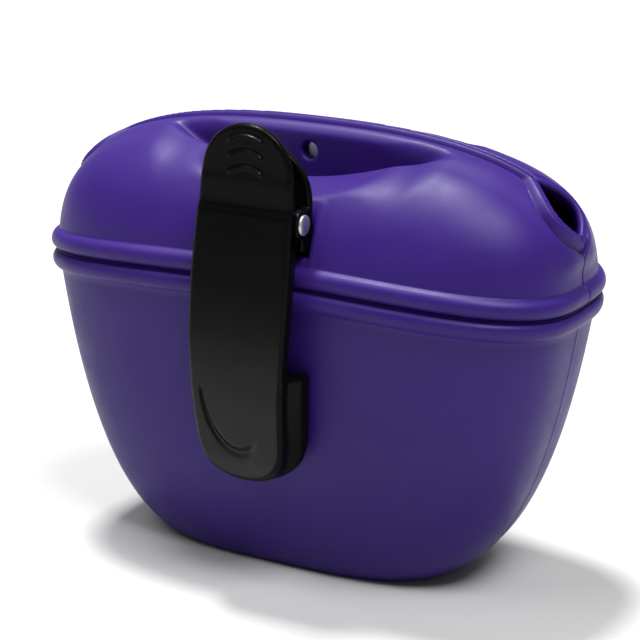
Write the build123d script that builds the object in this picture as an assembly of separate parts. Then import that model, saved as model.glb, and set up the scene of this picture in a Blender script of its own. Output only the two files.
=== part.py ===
from build123d import *
import math
import os

# Silicone treat pouch with a magnetic slit mouth and a sprung belt clip on its back.
# Origin: centre of the flat base's underside. +Z is up, X runs along the mouth,
# the plain front faces -Y and the clip is on +Y. Millimetres throughout.

# Pouch shell
RIM_HALF_LENGTH = 63.2      # outer wall at the join between bucket and hood
RIM_HALF_DEPTH = 31.6
RIM_HEIGHT = 66.2           # height of the join at the two ends
RIM_ARCH = 3.8              # how much higher the join is at the middle of the long sides
BASE_HALF_LENGTH = 29.6
BASE_HALF_DEPTH = 17.4
HOOD_HEIGHT = 32.8          # from the end of the join to the crown
CROWN_SHARE = 0.985         # the crown is cut flat at this share of the hood's height
WAIST = 1.0                 # how far the long sides pull in at their middle
ROUNDNESS = 3.0             # superellipse exponent of the plan outline
WALL = 2.6
CROWN_WALL = 3.0
CAVITY_SHARE = 0.97         # the cavity's own crown is cut flat at this share of its height
WALL_SECTIONS = 8           # loft sections in the bucket and in the hood

# Side curves of the wall. Shares are of the way from the base or join to the next rim
BUCKET_RISE = 0.78          # height of the third control point
FLARE_LENGTH = 0.76         # second control point, along X
FLARE_DEPTH = 0.44          # second control point, along Y
LEAN_LENGTH = 2.0           # how far inside the rim the third control point stays, along X
LEAN_DEPTH = 1.5
HOOD_RISE = (0, 0.53, 1, 1)
HOOD_SHOULDER = 0.95        # length left at the third control point of the hood
HOOD_ROUNDNESS = 2.26       # superellipse exponent of the hood seen from its end
BEAD_PROUD = 1.8            # how far each bead stands out of the wall
BEAD_HEIGHT = 3.5
BEAD_GAP = 0.02             # from the join to the bead
BEAD_ROUNDING = 1.4

# Join between the hood and the bucket: a tongue on the hood plugs into the bucket
JOIN_GAP = 0.02
TONGUE_GAP = 0.15
TONGUE_WALL = 1.4
TONGUE_DEPTH = 5.0

# Mouth
LIP_GAP = 0.3               # each lip's face from the middle plane
LIP_THICKNESS = 6.2
LIP_HALF_LENGTH = 44.0
LIP_BOTTOM = 84.5
END_OPENING_TOP = (50.0, 91.8)      # x, z of the almond opening's ends
END_OPENING_LOW = (61.6, 80.6)
END_OPENING_HALF_WIDTH = 4.6
END_OPENING_CUT = 9.0       # half the depth of the cut that makes each opening

# Finger recess outside each lip
RECESS_HALF_LENGTH = 34.0
RECESS_REACH = 15.0         # from the middle plane to the recess's outer edge
RECESS_FLOOR = 87.0

# Living hinges
HINGE_HEIGHT = 77.0         # the lips part from the skirt here

# Closing magnets
MAGNET_RADIUS = 5.0
MAGNET_THICKNESS = 2.0
MAGNET_DEPTH = 1.5          # silicone between the magnet and the lip's face
MAGNET_HEIGHT = 92.6
WINDOW_RADIUS = 2.35
FIT = 0.05                  # radial clearance of a running or located fit

# Belt clip
PIVOT_Y = 31.2
PIVOT_Z = 84.0
PIN_RADIUS = 1.5
PIN_HEAD_RADIUS = 2.3
PIN_HEAD = 0.8
PLATE_BACK = 26.6
PLATE_FRONT = 28.4
PLATE_HALF_WIDTH = 12.2
PLATE_BOTTOM = 76.6
PLATE_TOP = 100.2
SEAT_GAP = 0.3              # from the plate to the edges of its seat in the hood
EAR = 1.8
EAR_RADIUS = 3.0
EAR_FRONT = 31.5            # the ears are cut flat here, behind the arm
EAR_ROOT = 6.0              # how far below the pivot an ear still joins the plate
KNUCKLE_RADIUS = 2.6
KNUCKLE_INNER = 5.0
KNUCKLE_GAP = 0.2           # between a knuckle and its ear
KNUCKLE_WEB = 2.4
ARM_TOP = 104.8
ARM_BOTTOM = 24.6
ARM_SKIN = 2.2
ARM_FLANGE = 4.2
FLANGE_WALL = 1.8
FLANGE_GAP = 5.0            # the flanges stop this far below the pivot
ARM_HALF_WIDTH = 11.8
TAB_HALF_WIDTH = 10.9
FOOT_HALF_WIDTH = 9.4
HOOK_TOP = 50.0
HOOK_BACK = 28.6            # back of the hook where it comes nearest to the bucket
HOOK_WALL = 2.0

# Bowed front of the arm as (y, z), from the tab down to the foot
ARM_FRONT = [(33.3, ARM_TOP), (33.3, 95), (34.1, 89), (35.7, 79), (37.1, 69)]
ARM_FRONT += [(38.3, 58), (38.0, 47), (36.6, 39.5), (34.6, 31), (31.6, 24.8)]

# Spring
WIRE_RADIUS = 0.35
COIL_RADIUS = 2.2
COIL_TURNS = 5
COIL_HALF_LENGTH = 3.6
POINTS_PER_TURN = 12
LEG_LENGTH = 12.0

# Bracket fixing
BOSS_HALF_WIDTH = 14.0
BOSS_BACK = 23.4
BOSS_BOTTOM = 74.5
BOSS_TOP = 88.0
BOSS_GAP = 0.4              # between the boss and the back lip
BACKING_THICKNESS = 1.6
SCREW_X = 6.5
SCREW_Z = 79.2
SCREW_RADIUS = 1.25
SCREW_HEAD_RADIUS = 2.4
SCREW_HEAD = 1.4
BACKING_HALF_WIDTH = 11.0
BACKING_RISE = 4.2          # from the screws up to the backing plate's top
BACKING_FOOT = 0.8          # from the boss's underside up to the backing plate

FAR = 120                   # beyond every part

SIDES = {"front": -1, "back": 1}


def bezier(t, points):
    """Cubic Bezier value at t."""
    a, b, c, d = points
    s = 1 - t
    return a * s**3 + 3 * b * s**2 * t + 3 * c * s * t**2 + d * t**3


def bucket_size(t):
    """Height, half length and half depth of the bucket wall; t runs from base to join."""
    spread_x = RIM_HALF_LENGTH - BASE_HALF_LENGTH
    spread_y = RIM_HALF_DEPTH - BASE_HALF_DEPTH
    flared_x = BASE_HALF_LENGTH + FLARE_LENGTH * spread_x
    flared_y = BASE_HALF_DEPTH + FLARE_DEPTH * spread_y
    z = bezier(t, (0, 0, BUCKET_RISE * RIM_HEIGHT, RIM_HEIGHT))
    x = bezier(t, (BASE_HALF_LENGTH, flared_x, RIM_HALF_LENGTH - LEAN_LENGTH, RIM_HALF_LENGTH))
    y = bezier(t, (BASE_HALF_DEPTH, flared_y, RIM_HALF_DEPTH - LEAN_DEPTH, RIM_HALF_DEPTH))
    return z, x, y


def hood_size(t, height=HOOD_HEIGHT):
    """Height, half length and half depth of the hood wall; t runs from join to crown."""
    rise = bezier(t, HOOD_RISE)
    x = bezier(t, (RIM_HALF_LENGTH, RIM_HALF_LENGTH, HOOD_SHOULDER * RIM_HALF_LENGTH, 0))
    y = RIM_HALF_DEPTH * (1 - rise**HOOD_ROUNDNESS) ** (1 / HOOD_ROUNDNESS)
    return RIM_HEIGHT + rise * height, x, y


def outline(z, half_x, half_y, points=24):
    """Closed plan outline of the pouch at one height: a superellipse with pulled-in long sides."""
    share = min(1.0, half_y / RIM_HALF_DEPTH)
    knots = []
    for i in range(points):
        turn = 2 * math.pi * (i + 0.5) / points
        across = half_x * math.cos(turn)
        along = half_y * math.sin(turn)
        bearing = math.atan2(along, across)
        spread_x = abs(math.cos(bearing) / half_x) ** ROUNDNESS
        spread_y = abs(math.sin(bearing) / half_y) ** ROUNDNESS
        reach = (spread_x + spread_y) ** (-1 / ROUNDNESS)
        x = reach * math.cos(bearing)
        y = reach * math.sin(bearing)
        pull = WAIST * share * (1 - (x / half_x) ** 2) ** 2
        knots.append((x, y - math.copysign(pull, y), z))
    return knots


def section(z, half_x, half_y):
    return make_face(Spline(*outline(z, half_x, half_y), periodic=True))


def pouch_body(inset, floor, hood_height, share):
    """Solid inside the pouch's wall, moved inwards by inset, from floor to a share of the hood's height."""
    steps = range(1, WALL_SECTIONS + 1)
    bucket = [bucket_size(i / WALL_SECTIONS) for i in steps]
    last = crown_parameter(share)
    sizes = [(floor, BASE_HALF_LENGTH, BASE_HALF_DEPTH)]
    sizes += [size for size in bucket if size[0] > floor + WALL / 2]
    sizes += [hood_size(last * i / WALL_SECTIONS, hood_height) for i in steps]
    return loft([section(z, x - inset, y - inset) for z, x, y in sizes])


def crown_parameter(share):
    """Bezier parameter at which the hood reaches a share of its height."""
    low, high = 0.0, 1.0
    for _ in range(40):
        middle = (low + high) / 2
        if bezier(middle, HOOD_RISE) < share:
            low = middle
        else:
            high = middle
    return low


def below_join(shift):
    """Everything under the arched join moved up by shift."""
    reach = RIM_HALF_LENGTH + 12
    crest_points = []
    for x in (-reach, 0, reach):
        arch = RIM_ARCH * (1 - (x / RIM_HALF_LENGTH) ** 2)
        crest_points.append((x, 0, RIM_HEIGHT + arch + shift))
    crest = Spline(*crest_points)
    edges = [crest, Polyline(crest @ 1, (reach, 0, -20), (-reach, 0, -20), crest @ 0)]
    return extrude(make_face(edges), FAR, dir=(0, 1, 0), both=True)


def block(x0, x1, y0, y1, z0, z1):
    """Box between two corners."""
    size = Box(x1 - x0, y1 - y0, z1 - z0)
    return Pos((x0 + x1) / 2, (y0 + y1) / 2, (z0 + z1) / 2) * size


def rod(radius, start, end):
    """Round bar from start to end."""
    start, end = Vector(*start), Vector(*end)
    way = end - start
    return extrude(Plane(origin=start, z_dir=way) * Circle(radius), way.length)


def join_band(inset):
    """Solid inside the wall, moved inwards by inset, for a short way below and above the join."""
    sizes = [bucket_size(t) for t in (0.7, 0.8, 0.9, 1.0)]
    sizes += [hood_size(t) for t in (0.12, 0.24, 0.36)]
    return loft([section(z, x - inset, y - inset) for z, x, y in sizes])


def between(solid, low, high):
    """The part of a solid between two copies of the arched join, shifted by low and high."""
    return (solid & below_join(high)) - below_join(low)


def bead(side):
    """Rounded slab as wide as the bead, just above (+1) or below (-1) the join."""
    low, high = sorted((side * BEAD_GAP, side * (BEAD_GAP + BEAD_HEIGHT)))
    slab = between(join_band(-BEAD_PROUD), low, high)
    rim = [edge for edge in slab.edges() if edge.length > RIM_HALF_LENGTH * 2.4]
    return fillet(rim, BEAD_ROUNDING)


def lens(half_length, half_width):
    """Pointed oval face in the XY plane, long along X."""
    left, right = (-half_length, 0), (half_length, 0)
    upper = ThreePointArc(left, (0, half_width), right)
    lower = ThreePointArc(right, (0, -half_width), left)
    return make_face([upper, lower])


def recess(side, grow):
    """Finger recess outside a lip, or the silicone round it when grown by the wall's thickness."""
    half_width = RECESS_REACH - LIP_THICKNESS
    plan = lens(RECESS_HALF_LENGTH + 2 * grow, half_width + grow)
    inner = LIP_THICKNESS - grow
    bottom = RECESS_FLOOR - grow
    oval = Pos(0, side * LIP_THICKNESS, bottom) * extrude(plan, FAR)
    low_y, high_y = sorted((side * inner, side * FAR))
    return oval & block(-FAR, FAR, low_y, high_y, bottom, FAR)


def end_opening(end):
    """Almond opening at one end of the slit (end is +1 or -1)."""
    top_x, top_z = END_OPENING_TOP
    low_x, low_z = END_OPENING_LOW
    length = math.hypot(low_x - top_x, low_z - top_z)
    centre = (end * (top_x + low_x) / 2, 0, (top_z + low_z) / 2)
    along = (end * (low_x - top_x), 0, low_z - top_z)
    out = (end * (top_z - low_z), 0, low_x - top_x)
    plane = Plane(origin=centre, x_dir=along, z_dir=out)
    return extrude(plane * lens(length / 2, END_OPENING_HALF_WIDTH), END_OPENING_CUT, both=True)


def magnet_seat(side, radius, depth_near, depth_far):
    """Round bar along Y on the magnets' axis, between two depths from the middle plane."""
    near = (0, side * depth_near, MAGNET_HEIGHT)
    far = (0, side * depth_far, MAGNET_HEIGHT)
    return rod(radius, near, far)


def make_bucket(outer, inner):
    """Lower container with the bead round its rim."""
    return ((outer & below_join(-JOIN_GAP)) + bead(-1)) - inner


def make_dome(outer, inner):
    """Hood above the living hinges: shell, thick lips and recess walls, with both halves still in one piece."""
    top = outer & block(-FAR, FAR, -FAR, FAR, HINGE_HEIGHT, FAR)
    lips = block(-LIP_HALF_LENGTH, LIP_HALF_LENGTH, -LIP_THICKNESS, LIP_THICKNESS, LIP_BOTTOM, FAR)
    dome = top - inner
    dome += top & lips
    for side in SIDES.values():
        dome += top & recess(side, WALL)
    for side in SIDES.values():
        dome -= recess(side, 0)
    for end in (-1, 1):
        dome -= end_opening(end)
    return dome


def make_tongue():
    """Ring inside the join that plugs the hood into the bucket."""
    core = join_band(WALL + TONGUE_GAP + TONGUE_WALL)
    plug = between(join_band(WALL + TONGUE_GAP) - core, -TONGUE_DEPTH, TONGUE_DEPTH)
    root = between(join_band(WALL / 2) - core, 0, TONGUE_DEPTH)
    return plug + root


def screw_hole(x):
    """Clearance hole for a screw, through the backing plate, the boss and the bracket."""
    return rod(SCREW_RADIUS + FIT, (x, BOSS_BACK - 10, SCREW_Z), (x, PLATE_FRONT + 10, SCREW_Z))


def make_skirt(outer, inner):
    """Fixed lower part of the hood, with the boss that carries the bracket."""
    shell = (outer & block(-FAR, FAR, -FAR, FAR, 0, HINGE_HEIGHT)) - below_join(0)
    skirt = shell + bead(1) - inner + make_tongue()
    skirt += outer & block(-BOSS_HALF_WIDTH, BOSS_HALF_WIDTH, BOSS_BACK, FAR, BOSS_BOTTOM, BOSS_TOP)
    seat_half = PLATE_HALF_WIDTH + SEAT_GAP
    skirt -= block(-seat_half, seat_half, PLATE_BACK - FIT, FAR, PLATE_BOTTOM - SEAT_GAP, FAR)
    for x in (-SCREW_X, SCREW_X):
        skirt -= screw_hole(x)
    return skirt


def make_lip(dome, side):
    """Upper half of the hood on one side of the slit."""
    low_y, high_y = sorted((side * LIP_GAP, side * FAR))
    lip = dome & block(-FAR, FAR, low_y, high_y, HINGE_HEIGHT, FAR)
    if side == SIDES["back"]:
        notch = BOSS_HALF_WIDTH + BOSS_GAP
        lip -= block(-notch, notch, BOSS_BACK - WALL, FAR, BOSS_BOTTOM, BOSS_TOP + BOSS_GAP)
    magnet_end = MAGNET_DEPTH + MAGNET_THICKNESS
    lip -= magnet_seat(side, MAGNET_RADIUS + FIT, MAGNET_DEPTH - FIT, magnet_end + FIT)
    lip -= magnet_seat(side, WINDOW_RADIUS, magnet_end, LIP_THICKNESS + 1)
    return lip


def make_magnet(side):
    return magnet_seat(side, MAGNET_RADIUS, MAGNET_DEPTH, MAGNET_DEPTH + MAGNET_THICKNESS)


def arm_face(back):
    """Side profile of the clip arm between its bowed front and a copy moved in by back."""
    outer = Spline(*[(0, y, z) for y, z in ARM_FRONT])
    inner = Spline(*[(0, y - back, z) for y, z in ARM_FRONT])
    edges = [outer, Line(outer @ 1, inner @ 1), inner, Line(inner @ 0, outer @ 0)]
    return make_face(edges)


def arm_plan(grow):
    """Front outline of the arm: full-round tab, slightly bowed sides and a rounded lower end."""
    tab = TAB_HALF_WIDTH + grow
    foot = FOOT_HALF_WIDTH + grow
    half = ARM_HALF_WIDTH + grow
    top = ARM_TOP - TAB_HALF_WIDTH
    low = ARM_BOTTOM + FOOT_HALF_WIDTH
    side = [(tab, top), (half - 0.1, 85), (half, 72), (half - 0.2, 58), (foot, low)]
    right = Spline(*[(x, 0, z) for x, z in side])
    left = Spline(*[(-x, 0, z) for x, z in reversed(side)])
    tip = ThreePointArc(right @ 1, (0, 0, ARM_BOTTOM - grow), left @ 0)
    crown = ThreePointArc(left @ 1, (0, 0, ARM_TOP + grow), right @ 0)
    return extrude(make_face([right, tip, left, crown]), FAR, dir=(0, 1, 0))


def side_face(points):
    """Face in the YZ plane with straight sides between (y, z) corners."""
    return make_face(Polyline(*[(0, y, z) for y, z in points], close=True))


def hook_face():
    """Side profile of the hook that reaches in from the arm's foot to the bucket."""
    return side_face([(36.4, HOOK_TOP), (HOOK_BACK + 1.5, HOOK_TOP), (HOOK_BACK, 34), (31.2, 24.8), (34.6, 29)])


def pocket_face():
    """Side profile of the hollow inside the hook, open at its top."""
    back = HOOK_BACK + HOOK_WALL
    return side_face([(36, HOOK_TOP + 1), (back + 1.5, HOOK_TOP + 1), (back, 35), (34.5, 31)])


def across(face):
    """A side profile drawn out to both sides, wider than the clip."""
    return extrude(face, 20, dir=(1, 0, 0), both=True)


def pivot_rod(radius, x0, x1):
    """Round bar on the clip's pivot axis."""
    return rod(radius, (x0, PIVOT_Y, PIVOT_Z), (x1, PIVOT_Y, PIVOT_Z))


def make_arm():
    """Belt clip arm: skin, side flanges, hook and two hinge knuckles."""
    skin = across(arm_face(ARM_SKIN)) & arm_plan(0)
    flange = (across(arm_face(ARM_FLANGE)) & arm_plan(0)) - arm_plan(-FLANGE_WALL)
    flange -= block(-FAR, FAR, 0, FAR, PIVOT_Z - FLANGE_GAP, FAR)
    hook = across(hook_face()) & arm_plan(0)
    hook -= across(pocket_face()) & arm_plan(-HOOK_WALL)
    arm = skin + flange + hook
    low_z, high_z = PIVOT_Z - KNUCKLE_RADIUS, PIVOT_Z + KNUCKLE_RADIUS
    for end in (-1, 1):
        x0, x1 = sorted((end * KNUCKLE_INNER, end * (PLATE_HALF_WIDTH - EAR - KNUCKLE_GAP)))
        arm += pivot_rod(KNUCKLE_RADIUS, x0, x1)
        arm += block(x0, x1, PIVOT_Y, PIVOT_Y + KNUCKLE_WEB, low_z, high_z)
    arm -= pivot_rod(PIN_RADIUS + FIT, -FAR, FAR)
    relief = COIL_HALF_LENGTH + 0.8
    arm -= pivot_rod(COIL_RADIUS + WIRE_RADIUS + 0.2, -relief, relief)
    return arm


def make_bracket():
    """Plate on the hood with a round top and two ears for the pin."""
    straight = PLATE_TOP - PLATE_HALF_WIDTH
    plate = block(-PLATE_HALF_WIDTH, PLATE_HALF_WIDTH, PLATE_BACK, PLATE_FRONT, PLATE_BOTTOM, straight)
    plate += rod(PLATE_HALF_WIDTH, (0, PLATE_BACK, straight), (0, PLATE_FRONT, straight))
    plate &= block(-FAR, FAR, 0, FAR, PLATE_BOTTOM, FAR)
    for end in (-1, 1):
        x0, x1 = sorted((end * (PLATE_HALF_WIDTH - EAR), end * PLATE_HALF_WIDTH))
        ear = pivot_rod(EAR_RADIUS, x0, x1)
        ear += block(x0, x1, PLATE_FRONT - 0.5, PIVOT_Y, PIVOT_Z - EAR_ROOT, PIVOT_Z + EAR_RADIUS)
        plate += ear & block(-FAR, FAR, 0, EAR_FRONT, 0, FAR)
    plate -= pivot_rod(PIN_RADIUS + FIT, -FAR, FAR)
    for x in (-SCREW_X, SCREW_X):
        plate -= screw_hole(x)
    return plate


def make_pin():
    """Pivot pin with a head outside one ear and a flush end in the other."""
    reach = PLATE_HALF_WIDTH + FIT
    shank = pivot_rod(PIN_RADIUS, -reach, PLATE_HALF_WIDTH)
    head = pivot_rod(PIN_HEAD_RADIUS, -reach - PIN_HEAD, -reach)
    return shank + head


def make_spring():
    """Torsion spring round the pin: one leg lies on the bracket, the other on the tab's back."""
    low_leg = []
    for share in (1, 2 / 3, 1 / 3):
        low_leg.append((-COIL_HALF_LENGTH, PIVOT_Y - COIL_RADIUS, PIVOT_Z + LEG_LENGTH * share))
    high_leg = []
    for lean, share in ((0.2, 1 / 4), (-0.4, 2 / 3), (-0.6, 1)):
        high_leg.append((COIL_HALF_LENGTH, PIVOT_Y + lean, PIVOT_Z + LEG_LENGTH * share))
    coil = []
    steps = int((COIL_TURNS + 0.5) * POINTS_PER_TURN)
    for i in range(steps + 1):
        angle = math.pi + 2 * math.pi * i / POINTS_PER_TURN
        x = COIL_HALF_LENGTH * (2 * i / steps - 1)
        coil.append((x, PIVOT_Y + COIL_RADIUS * math.cos(angle), PIVOT_Z + COIL_RADIUS * math.sin(angle)))
    path = Spline(*low_leg, *coil, *high_leg)
    return sweep(Plane(origin=path @ 0, z_dir=path % 0) * Circle(WIRE_RADIUS), path=path)


def make_screws():
    """Two screws from inside the pouch into the bracket."""
    head_back = BOSS_BACK - BACKING_THICKNESS
    screws = []
    for x in (-SCREW_X, SCREW_X):
        shank = rod(SCREW_RADIUS, (x, head_back - SCREW_HEAD, SCREW_Z), (x, PLATE_FRONT, SCREW_Z))
        head = rod(SCREW_HEAD_RADIUS, (x, head_back - SCREW_HEAD, SCREW_Z), (x, head_back, SCREW_Z))
        screws.append(shank + head)
    return Compound(screws)


def make_backing():
    """Plate inside the wall, under the screw heads."""
    half, back = BACKING_HALF_WIDTH, BOSS_BACK - BACKING_THICKNESS
    plate = block(-half, half, back, BOSS_BACK, BOSS_BOTTOM + BACKING_FOOT, SCREW_Z + BACKING_RISE)
    for x in (-SCREW_X, SCREW_X):
        plate -= screw_hole(x)
    return plate


os.makedirs("parts", exist_ok=True)
outer = pouch_body(0, 0, HOOD_HEIGHT, CROWN_SHARE)
inner = pouch_body(WALL, WALL, HOOD_HEIGHT - CROWN_WALL, CAVITY_SHARE)
dome = make_dome(outer, inner)
parts = {
    "bucket": make_bucket(outer, inner),
    "hood_skirt": make_skirt(outer, inner),
    "front_lip": make_lip(dome, SIDES["front"]),
    "back_lip": make_lip(dome, SIDES["back"]),
    "front_magnet": make_magnet(SIDES["front"]),
    "back_magnet": make_magnet(SIDES["back"]),
    "clip_bracket": make_bracket(),
    "clip_arm": make_arm(),
    "pivot_pin": make_pin(),
    "torsion_spring": make_spring(),
    "backing_plate": make_backing(),
    "clip_screws": make_screws(),
}
for name, shape in parts.items():
    export_step(shape, f"parts/{name}.step")
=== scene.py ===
import math

import bpy
import numpy as np
from mathutils import Matrix, Vector


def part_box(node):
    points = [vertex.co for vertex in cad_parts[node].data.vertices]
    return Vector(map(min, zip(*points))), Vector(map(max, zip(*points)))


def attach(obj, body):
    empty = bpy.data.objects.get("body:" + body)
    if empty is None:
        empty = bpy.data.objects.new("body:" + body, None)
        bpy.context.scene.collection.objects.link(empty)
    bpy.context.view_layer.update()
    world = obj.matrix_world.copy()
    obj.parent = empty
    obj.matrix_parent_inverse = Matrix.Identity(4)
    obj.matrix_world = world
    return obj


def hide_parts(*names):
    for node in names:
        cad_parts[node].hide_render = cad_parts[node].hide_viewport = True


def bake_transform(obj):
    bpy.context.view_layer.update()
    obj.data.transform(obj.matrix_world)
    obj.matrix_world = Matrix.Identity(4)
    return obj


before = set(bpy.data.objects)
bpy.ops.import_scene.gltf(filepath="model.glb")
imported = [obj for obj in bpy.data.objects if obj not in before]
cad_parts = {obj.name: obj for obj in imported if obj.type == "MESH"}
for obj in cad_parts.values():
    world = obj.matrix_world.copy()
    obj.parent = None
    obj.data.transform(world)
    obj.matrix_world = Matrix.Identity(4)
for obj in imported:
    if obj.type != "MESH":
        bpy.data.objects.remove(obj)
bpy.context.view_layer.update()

# Shapes are worked out in millimetres and written to meshes in metres. +Y is the clip's side.
MM = 0.001


def box_mm(node):
    """Lowest and highest corners of a CAD node in millimetres."""
    low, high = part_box(node)
    return [c / MM for c in low], [c / MM for c in high]


# ---------------------------------------------------------------- places taken from the frame
BUCKET_TOP = box_mm("bucket")[1][2]
LIP_TOP = box_mm("back_lip")[1][2]
ARM_BOTTOM, ARM_TOP = (corner[2] for corner in box_mm("clip_arm"))
PLATE_LOW, PLATE_HIGH = box_mm("clip_bracket")
PIN_LOW, PIN_HIGH = box_mm("pivot_pin")
PIN_Y = (PIN_LOW[1] + PIN_HIGH[1]) / 2
PIN_Z = (PIN_LOW[2] + PIN_HIGH[2]) / 2
MAGNET_LOW, MAGNET_HIGH = box_mm("back_magnet")
MAGNET_Z = (MAGNET_LOW[2] + MAGNET_HIGH[2]) / 2


# ---------------------------------------------------------------- helpers for smooth fields
# A field is negative inside a shape, positive outside, and close to the distance in millimetres.
# The last argument of smooth_max and smooth_min is how wide the rounding between two shapes is.
def smooth_max(a, b, blend):
    """Larger of two distances, with the crease rounded over blend."""
    near = np.maximum(blend - np.abs(a - b), 0) / blend
    return np.maximum(a, b) + near * near * blend / 4


def smooth_min(a, b, blend):
    """Smaller of two distances, with the crease rounded over blend."""
    return -smooth_max(-a, -b, blend)


def step_up(value, start, end):
    """0 before start, 1 after end, smooth between."""
    t = np.clip((value - start) / (end - start), 0, 1)
    return t * t * (3 - 2 * t)


def bump(value, centre, width):
    """1 at the centre, falling smoothly to 0 on both sides."""
    return np.exp(-(((value - centre) / width) ** 2))


def as_distance(shape, x, y, z):
    """Turns any smooth field into a near distance by dividing by its slope."""
    reach = 0.06
    here = shape(x, y, z)
    slope = (shape(x + reach, y, z) - here) ** 2
    slope = slope + (shape(x, y + reach, z) - here) ** 2
    slope = slope + (shape(x, y, z + reach) - here) ** 2
    return here / np.maximum(np.sqrt(slope) / reach, 1e-4)


def box_field(x, y, z, low, high, rounding):
    """Distance to a box with rounded edges."""
    reach = 0
    inner = -1e9
    for value, a, b in zip((x, y, z), low, high):
        gap = np.abs(value - (a + b) / 2) - (b - a) / 2 + rounding
        reach = reach + np.maximum(gap, 0) ** 2
        inner = np.maximum(inner, gap)
    return np.sqrt(reach) + np.minimum(inner, 0) - rounding


def from_table(value, table):
    """Value read off a table of pairs, in straight lines between them."""
    places, results = zip(*table)
    return np.interp(value, places, results)


# ---------------------------------------------------------------- meshing
STRIDE = 3                  # the first, rough look at a field takes every third grid point
NEAR_STEPS = 5              # points within this many steps of the surface are worked out exactly
SMOOTHING_ROUNDS = 3
SLIDES = 2                  # slides towards the surface in each round
LONGEST_SLIDE = 0.4         # in steps
LEAST_SLOPE = 0.2           # a flatter field counts as this steep


def grid_values(field, axes, step):
    """Field on a grid: exact near the surface, taken from the nearest rough point elsewhere."""
    rough_axes = [a[::STRIDE] for a in axes]
    rough = field(*np.meshgrid(*rough_axes, indexing="ij", sparse=True))
    rough = np.broadcast_to(rough, [len(a) for a in rough_axes])
    nearest = [np.minimum((np.arange(len(a)) + 1) // STRIDE, len(b) - 1) for a, b in zip(axes, rough_axes)]
    value = rough[np.ix_(*nearest)].astype(np.float64)
    near = np.argwhere(np.abs(value) < NEAR_STEPS * step)
    value[tuple(near.T)] = field(*[a[n] for a, n in zip(axes, near.T)])
    return value


def surface_net(field, low, high, step):
    """Points and quads of the closed surface where the field is zero."""
    value = grid_values(field, [np.arange(a, b + step, step) for a, b in zip(low, high)], step)
    inside = value < 0
    size = np.array(inside.shape) - 1
    corners = [(i, j, k) for i in (0, 1) for j in (0, 1) for k in (0, 1)]
    count = np.zeros(size, np.int8)
    for i, j, k in corners:
        count += inside[i:size[0] + i, j:size[1] + j, k:size[2] + k]
    active = (count > 0) & (count < len(corners))
    cells = np.argwhere(active)
    number = np.full(active.shape, -1)
    number[active] = np.arange(len(cells))
    points = np.array(low) + crossing_means(value, cells, corners) * step
    return points, np.concatenate([axis_quads(inside, number, size, axis) for axis in range(3)])


def crossing_means(value, cells, corners):
    """One point in each cell: the mean of the places where its edges cross the surface."""
    total = np.zeros((len(cells), 3))
    hits = np.zeros(len(cells))
    for a in corners:
        for axis in range(3):
            if a[axis]:
                continue
            b = tuple(c + (n == axis) for n, c in enumerate(a))
            va = value[tuple((cells + a).T)]
            vb = value[tuple((cells + b).T)]
            cross = (va < 0) != (vb < 0)
            share = np.where(cross, va / np.where(cross, va - vb, 1), 0)
            point = cells + np.array(a, float)
            point[:, axis] += share
            total[cross] += point[cross]
            hits += cross
    return total / hits[:, None]


def axis_quads(inside, number, size, axis):
    """One quad across each grid edge along an axis that crosses the surface."""
    u, v = [n for n in range(3) if n != axis]
    first = [slice(1, None)] * 3
    second = [slice(1, None)] * 3
    first[axis] = slice(0, -1)
    a, b = inside[tuple(first)], inside[tuple(second)]
    start = np.argwhere(a != b)
    leaving = a[tuple(start.T)]
    start = start + 1
    start[:, axis] -= 1
    back_u, back_v = np.eye(3, dtype=int)[[u, v]]
    ring = [start, start - back_u, start - back_u - back_v, start - back_v]
    quads = np.stack([number[tuple(np.minimum(r, size - 1).T)] for r in ring], axis=1)
    flip = leaving if axis == 1 else ~leaving
    quads[flip] = quads[flip][:, ::-1]
    return quads


def slide_to_surface(points, field, step):
    """Moves points towards the field's zero surface, a part of a step at a time."""
    for _ in range(SLIDES):
        x, y, z = points.T
        here = field(x, y, z)
        reach = step * 0.1
        slope = np.stack([
            field(x + reach, y, z) - here,
            field(x, y + reach, z) - here,
            field(x, y, z + reach) - here,
        ], axis=1) / reach
        steep = np.maximum((slope ** 2).sum(1), LEAST_SLOPE**2)
        move = slope * (here / steep)[:, None]
        length = np.sqrt((move ** 2).sum(1))
        move *= np.minimum(1, step * LONGEST_SLIDE / np.maximum(length, 1e-9))[:, None]
        points = points - move
    return points


def relax(points, quads):
    """Moves each point half way to the mean of its neighbours."""
    total = np.zeros_like(points)
    count = np.zeros(len(points))
    for n in range(4):
        a, b = quads[:, n], quads[:, (n + 1) % 4]
        np.add.at(total, a, points[b])
        np.add.at(total, b, points[a])
        np.add.at(count, a, 1)
        np.add.at(count, b, 1)
    return points + (total / count[:, None] - points) * 0.5


def field_piece(name, field, low, high, step, material):
    """A closed piece whose surface is the field's zero set."""
    points, quads = surface_net(field, low, high, step)
    for _ in range(SMOOTHING_ROUNDS):
        points = slide_to_surface(relax(points, quads), field, step)
    return mesh_piece(name, points, quads.tolist(), material)


def mesh_piece(name, points, faces, material):
    """New smooth-shaded object from points in millimetres."""
    mesh = bpy.data.meshes.new(name)
    mesh.from_pydata((np.asarray(points) * MM).tolist(), [], faces)
    mesh.validate()
    mesh.shade_smooth()
    piece = bpy.data.objects.new(name, mesh)
    bpy.context.scene.collection.objects.link(piece)
    piece.data.materials.append(material)
    return piece


def ring_quads(rows, count):
    """Quads that join each ring of points to the next."""
    quads = []
    for row in range(rows - 1):
        for k in range(count):
            here, after = row * count + k, row * count + (k + 1) % count
            quads.append((here, after, after + count, here + count))
    return quads


def tube_faces(rows, count):
    """Quads along a tube of rings, and a cap on each end."""
    last = (rows - 1) * count
    return ring_quads(rows, count) + [tuple(range(count))[::-1], tuple(range(last, last + count))]


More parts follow.
